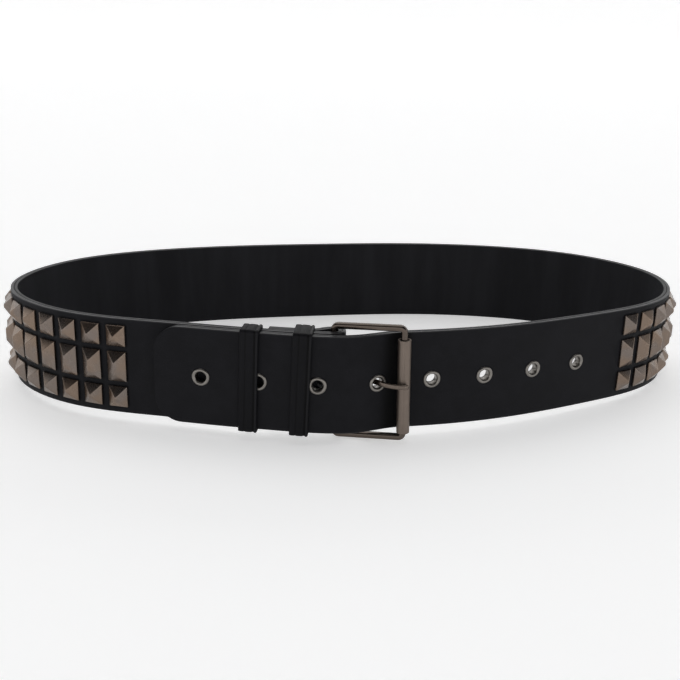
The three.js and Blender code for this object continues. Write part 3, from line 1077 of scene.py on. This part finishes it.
class BELT_OT_prong(bpy.types.Operator):
    """Adds the prong, looped round the bar"""

    bl_idname = "belt.prong"
    bl_label = "Prong"

    def execute(self, context):
        sizes = context.scene.belt_buckle
        wide = sizes.prong / MM
        shaft = prong_shaft(wide)
        section = round_section(0.7, wide / 2, 3.2, 16)
        loop = spun("prong loop", [(PRONG_LOOP + x, z) for x, z in section], 40)
        loop.data.transform(Matrix.Translation((BAR[0] * MM, BAR[1] * MM, MIDDLE * MM)))
        prong = join([shaft, loop], "prong_with_loop")
        # Painted shade: the prong's gunmetal is darkened below the roller's and studs' to stand in
        # for the shade round it.
        finish = plated("gunmetal prong", rgb(sizes.metal, 0.75), 0.20, 0.5)
        settle(prong, finish, ["buckle_prong"], angle=50)
        return {"FINISHED"}


# Keepers and eyelets

# Where along the strap, round how many layers, and its lean in degrees
KEEPERS = {
    "keeper_by_tip": (61.1, 2, 1.0),
    "keeper_by_buckle": (36.0, 3, 1.4),
}
KEEPER_EDGE_ROOM = 0.4
KEEPER_FACE_ROOM = 0.9
KEEPER_BACK_ROOM = 0.7

# Over how many millimetres a keeper spreads towards its folds, and by what share
KEEPER_FLARE_OVER = 4.5
KEEPER_FLARE = 0.13


def keeper_section(wide, ply):
    """Across a keeper: a bead along the edge by the buckle and a shallow crease by the other."""
    half, thin = wide / 2, ply / 2
    bead = [
        (thin - 0.42, -half), (thin - 0.10, -half + 0.16), (thin + 0.12, -half + 0.5),
        (thin + 0.18, -half + 0.8), (thin + 0.08, -half + 1.1), (thin - 0.30, -half + 1.4),
        (thin - 0.34, -half + 1.75), (thin - 0.06, -half + 2.2), (thin + 0.02, -half + 3.0),
    ]
    crease = [
        (thin + 0.06, 0), (thin + 0.04, half - 3.6), (thin - 0.02, half - 3.1),
        (thin - 0.20, half - 2.7), (thin - 0.02, half - 2.3), (thin + 0.02, half - 1.6),
        (thin - 0.03, half - 0.6), (thin - 0.16, half - 0.16), (thin - 0.42, half),
    ]
    inner = [
        (-thin + 0.3, half), (-thin, half - 0.3), (-thin, 0), (-thin, -half + 0.3),
        (-thin + 0.3, -half),
    ]
    return bead + crease + inner


def keeper_band(name, sizes, at, layers):
    """A keeper's band, flared towards its folds, and how far out of the strap its middle is."""
    ply = sizes.keeper_ply / MM
    lift = float(run_out(WAIST + at) - run_out(at))
    inmost = float(fold_out(at) - run_out(at)) - HALF if layers == 3 else -HALF
    low = inmost - KEEPER_BACK_ROOM - ply / 2
    high = lift + HALF + KEEPER_FACE_ROOM + ply / 2
    tall = MIDDLE + KEEPER_EDGE_ROOM + ply / 2
    band = framed(name, keeper_section(sizes.keeper / MM, ply), (high - low) / 2, tall, 1.0, 6)
    points = points_of(band)
    flat = band.data.uv_layers.new(name="flat")
    for corner in band.data.loops:
        flat.data[corner.index].uv = points[corner.vertex_index, 2], 0
    past = np.abs(points[:, 1]) / MM - tall + KEEPER_FLARE_OVER
    points[:, 2] *= 1 + KEEPER_FLARE * ease(past / KEEPER_FLARE_OVER)
    move_points(band, points)
    return band, (low + high) / 2


class BELT_OT_keepers(bpy.types.Operator):
    """Adds the two keepers"""

    bl_idname = "belt.keepers"
    bl_label = "Keepers"

    def execute(self, context):
        sizes = context.scene.belt_trim
        shade = rgb(context.scene.belt_strap.black, 0.80)
        finish = plain_leather(
            "keeper leather", shade, 0.6 * MM, 0.48, 0.04 * MM, 0.04, creased=sizes.keeper
        )
        for name, (at, layers, lean) in KEEPERS.items():
            band, out = keeper_band(name + "_band", sizes, at, layers)
            turned = Matrix(((0, 0, -1, 0), (0, 1, 0, 0), (1, 0, 0, out * MM), (0, 0, 0, 1)))
            place = on_run(at) @ Matrix.Rotation(math.radians(-lean), 4, "Z") @ turned
            settle(band, finish, [name], place=place, angle=40)
        return {"FINISHED"}


class BELT_OT_eyelets(bpy.types.Operator):
    """Adds the eyelets"""

    bl_idname = "belt.eyelets"
    bl_label = "Eyelets"

    def execute(self, context):
        sizes = context.scene.belt_trim
        finish = plated("nickel eyelets", rgb(sizes.nickel, 0.85), 0.27, 0.2)
        rim, bore = sizes.rim / MM, sizes.bore / MM
        face = HALF + 0.1
        back = [
            (bore, -face - 0.2), (bore + 0.2, -face - 0.42), (bore + 0.9, -face - 0.42),
            (bore + 1.4, -face - 0.3), (bore + 1.5, -face - 0.05),
        ]
        barrel = [(EYELET_BARREL, -face), (EYELET_BARREL, face)]
        front = [
            (rim, face), (rim - 0.05, face + 0.16), (rim - 0.22, face + 0.38),
            (rim - 0.52, face + 0.56), (rim - 0.88, face + 0.62), (rim - 1.22, face + 0.54),
            (rim - 1.52, face + 0.32), (rim - 1.74, face), (bore, face - 0.5),
        ]
        for k in range(EYELETS):
            eyelet = spun(f"eyelet_{k + 1}_ring", back + barrel + front, 40)
            place = on_run(eyelet_at(k))
            settle(eyelet, finish, [f"eyelet_{k + 1}"], place=place, angle=50)
        return {"FINISHED"}


# The stage

SUN_WAY = (-0.06, 0.34, 1.0)
SUN_STRENGTH = 0.95
SUN_SPREAD = math.radians(60)
WORLD_STRENGTH = 1.3
CEILING = (0.03, 0.03, 0.033, 1)
VIEW_DOWN = math.radians(18)
VIEW_ROLL = 0.031
VIEW_ASIDE = 0.15
VIEW_SHIFT = -0.0237


def top_sun():
    """A broad even light from above and a little behind."""
    light = bpy.data.lights.new("top sun", "SUN")
    light.energy = SUN_STRENGTH
    light.angle = SUN_SPREAD
    lamp = bpy.data.objects.new("top sun", light)
    bpy.context.collection.objects.link(lamp)
    lamp.matrix_world = Vector(SUN_WAY).to_track_quat("Z", "Y").to_matrix().to_4x4()


def studio_world():
    """Soft light from low down all round, under a dark ceiling."""
    sky = Finish(bpy.data.worlds.new("studio"))
    up = sky.node("SeparateXYZ", {}, {0: sky.place("Generated")}, output="Z")
    shade = sky.mix(up.step(0.26, 0.46), (1, 1, 1, 1), CEILING)
    light = sky.node("Background", {}, {"Color": shade, "Strength": WORLD_STRENGTH})
    sky.node("OutputWorld", {}, {"Surface": light})
    return sky.owner


def backdrop(shade):
    """A wide floor that curves up into a wall behind."""
    floor = start(bpy.ops.mesh.primitive_plane_add, "floor", size=8)
    bpy.ops.object.mode_set(mode="EDIT")
    bpy.ops.transform.resize(value=(3, 1, 1))
    bpy.ops.mesh.select_all(action="DESELECT")
    bpy.ops.object.mode_set(mode="OBJECT")
    for line in floor.data.edges:
        line.select = all(floor.data.vertices[k].co.y > 3 for k in line.vertices)
    bpy.ops.object.mode_set(mode="EDIT")
    bpy.ops.mesh.spin(
        steps=16, angle=-math.pi / 2, center=(0, 4, 1.5), axis=(1, 0, 0), use_auto_merge=False
    )
    bpy.ops.mesh.extrude_region_move(TRANSFORM_OT_translate={"value": (0, 0, 3)})
    bpy.ops.object.mode_set(mode="OBJECT")
    floor.data.materials.append(floor_finish(shade))
    only(floor)
    bpy.ops.object.shade_smooth_by_angle(angle=math.radians(40))
    return floor


class BELT_OT_stage(bpy.types.Operator):
    """Adds the floor, the lights and the camera"""

    bl_idname = "belt.stage"
    bl_label = "Stage"

    def execute(self, context):
        sizes = context.scene.belt_stage
        backdrop(sizes.floor)
        top_sun()
        context.scene.world = studio_world()
        context.scene.camera = self.camera(context, sizes)
        context.scene.view_settings.view_transform = "Standard"
        return {"FINISHED"}

    def camera(self, context, sizes):
        """Looks at the belt as the photograph does, from above its lower edge."""
        data = bpy.data.cameras.new("camera")
        data.lens = sizes.focal
        data.sensor_width = 36
        data.shift_y = VIEW_SHIFT
        level, down = math.cos(VIEW_DOWN), math.sin(VIEW_DOWN)
        eye = Vector((VIEW_ASIDE * MM, -sizes.far * level, sizes.far * down + MIDDLE * MM))
        ahead = Vector((0, level, -down))
        right = Vector((1, 0, 0))
        up = right.cross(ahead)
        right, up = (
            right * math.cos(VIEW_ROLL) + up * math.sin(VIEW_ROLL),
            up * math.cos(VIEW_ROLL) - right * math.sin(VIEW_ROLL),
        )
        pose = Matrix((right, up, -ahead)).transposed().to_4x4()
        camera = bpy.data.objects.new("camera", data)
        context.collection.objects.link(camera)
        camera.matrix_world = STAND @ Matrix.Translation(eye) @ pose
        return camera


class BELT_PT_pieces(bpy.types.Panel):
    """Lists the belt's pieces"""

    bl_label = "Studded belt"
    bl_idname = "BELT_PT_pieces"
    bl_space_type = "VIEW_3D"
    bl_region_type = "UI"
    bl_category = "Belt"

    def draw(self, context):
        for piece in PIECES:
            self.layout.operator(piece.bl_idname)
        for group in GROUPS:
            sizes = getattr(context.scene, group)
            box = self.layout.box()
            for name in sizes.bl_rna.properties.keys():
                if name not in {"rna_type", "name"}:
                    box.prop(sizes, name)


PIECES = (
    BELT_OT_stage,
    BELT_OT_outer_ply,
    BELT_OT_lining,
    BELT_OT_stitches,
    BELT_OT_studs,
    BELT_OT_buckle_frame,
    BELT_OT_roller,
    BELT_OT_prong,
    BELT_OT_keepers,
    BELT_OT_eyelets,
)
GROUPS = {
    "belt_strap": StrapSizes,
    "belt_studs": StudSizes,
    "belt_buckle": BuckleSizes,
    "belt_trim": TrimSizes,
    "belt_stage": StageSizes,
}


def register():
    for each in (*GROUPS.values(), *PIECES, BELT_PT_pieces):
        bpy.utils.register_class(each)
    for name, group in GROUPS.items():
        setattr(bpy.types.Scene, name, bpy.props.PointerProperty(type=group))


def unregister():
    for name in GROUPS:
        delattr(bpy.types.Scene, name)
    for each in reversed((*GROUPS.values(), *PIECES, BELT_PT_pieces)):
        bpy.utils.unregister_class(each)


def main():
    register()
    for piece in PIECES:
        getattr(bpy.ops.belt, piece.bl_idname.split(".")[1])()


if __name__ == "__main__":
    main()
